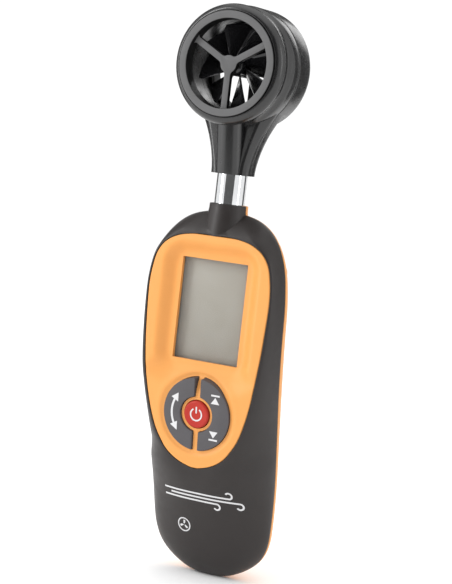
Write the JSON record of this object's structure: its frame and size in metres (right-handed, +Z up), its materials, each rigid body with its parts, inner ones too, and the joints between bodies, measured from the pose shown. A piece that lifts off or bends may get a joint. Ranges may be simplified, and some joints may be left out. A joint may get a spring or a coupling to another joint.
{
  "type": "vane anemometer",
  "caption": "Pocket vane anemometer: bent hand-held meter body with display and round key cluster, and a guarded rotor head that swivels on a chrome neck tube.",
  "frame": {"origin": "bottom centre of the whole object's box, standing upright", "axes": "+Z up along the neck tube, -Y out of the display, +X to the right of someone reading it"},
  "size_m": [0.042, 0.036, 0.1653],
  "materials": {
    "body_dark": "soft-touch matt, dark warm grey",
    "body_orange": "fine satin moulding, light orange",
    "head_black": "satin moulding, near black",
    "guard_grey": "satin, mid grey",
    "rotor_black": "gloss black",
    "button_grey": "matt moulded keys",
    "button_red": "satin red key",
    "print_white": "printed pictograms",
    "window": "clear acrylic",
    "lcd": "grey-green reflective display",
    "white_plastic": "plain moulding",
    "chrome": "polished plating",
    "steel": "plain steel",
    "brass": "turned",
    "board": "solder mask",
    "chip": "epoxy",
    "rubber": "black rubber",
    "silicone": "grey silicone",
    "cell_jacket": "plain cell jacket"
  },
  "bodies": {
    "body": {"front_shell": "body_dark", "rear_shell": "body_orange", "faceplate": "body_orange", "keypad_mat": "silicone", "dome_switch_power": "steel", "dome_switch_units": "steel", "dome_switch_max_min": "steel", "lcd_window": "window", "lcd_glass": "lcd", "lcd_frame": "white_plastic", "zebra_strip_bottom": "silicone", "zebra_strip_top": "silicone", "main_board": "board", "board_screw_left": "steel", "board_screw_right": "steel", "controller_chip": "chip", "crystal": "steel", "buzzer": "chip", "cable_socket": "white_plastic", "battery_cell_left": "cell_jacket", "battery_cell_right": "cell_jacket", "battery_spring_left": "steel", "battery_spring_right": "steel", "battery_plate_left": "steel", "battery_plate_right": "steel", "case_screw_1": "steel", "case_screw_2": "steel", "case_screw_3": "steel", "case_screw_4": "steel", "swivel_o_ring": "rubber", "sensor_cable": "rubber"},
    "head": {"head_front_shell": "head_black", "head_rear_shell": "head_black", "front_guard": "guard_grey", "rear_guard": "guard_grey", "front_bearing": "brass", "rear_bearing": "brass", "neck_tube": "chrome", "swivel_flange": "steel", "sensor_board": "board", "hall_sensor": "chip", "head_screw_left": "steel", "head_screw_right": "steel"},
    "rotor": {"rotor": "rotor_black", "rotor_axle": "steel", "rotor_magnet": "steel"},
    "power_key": {"power_button": "button_red"},
    "units_key": {"units_button": "button_grey"},
    "max_min_key": {"max_min_button": "button_grey"},
    "door": {"battery_door": "body_orange"}
  },
  "joints": [
    {"name": "head_swivel", "type": "hinge", "parent": "body", "child": "head", "pos_m": [0, -0.0061, 0.106], "axis": [0, 0, 1], "range_deg": [-90, 90]},
    {"name": "rotor_spin", "type": "hinge", "parent": "head", "child": "rotor", "pos_m": [0, -0.0087, 0.1482], "axis": [0, 1, 0], "continuous": true},
    {"name": "power_press", "type": "slide", "parent": "body", "child": "power_key", "axis": [0, 0.9936, 0.1132], "range_m": [0, 0.0003], "stiffness_N_per_m": 400, "springref_m": -0.0003},
    {"name": "units_press", "type": "slide", "parent": "body", "child": "units_key", "axis": [0, 0.9936, 0.1132], "range_m": [0, 0.0003], "stiffness_N_per_m": 400, "springref_m": -0.0003},
    {"name": "max_min_press", "type": "slide", "parent": "body", "child": "max_min_key", "axis": [0, 0.9936, 0.1132], "range_m": [0, 0.0003], "stiffness_N_per_m": 400, "springref_m": -0.0003},
    {"name": "door_lift", "type": "slide", "parent": "body", "child": "door", "axis": [0, 0.9887, 0.1499], "range_m": [0, 0.012]}
  ]
}
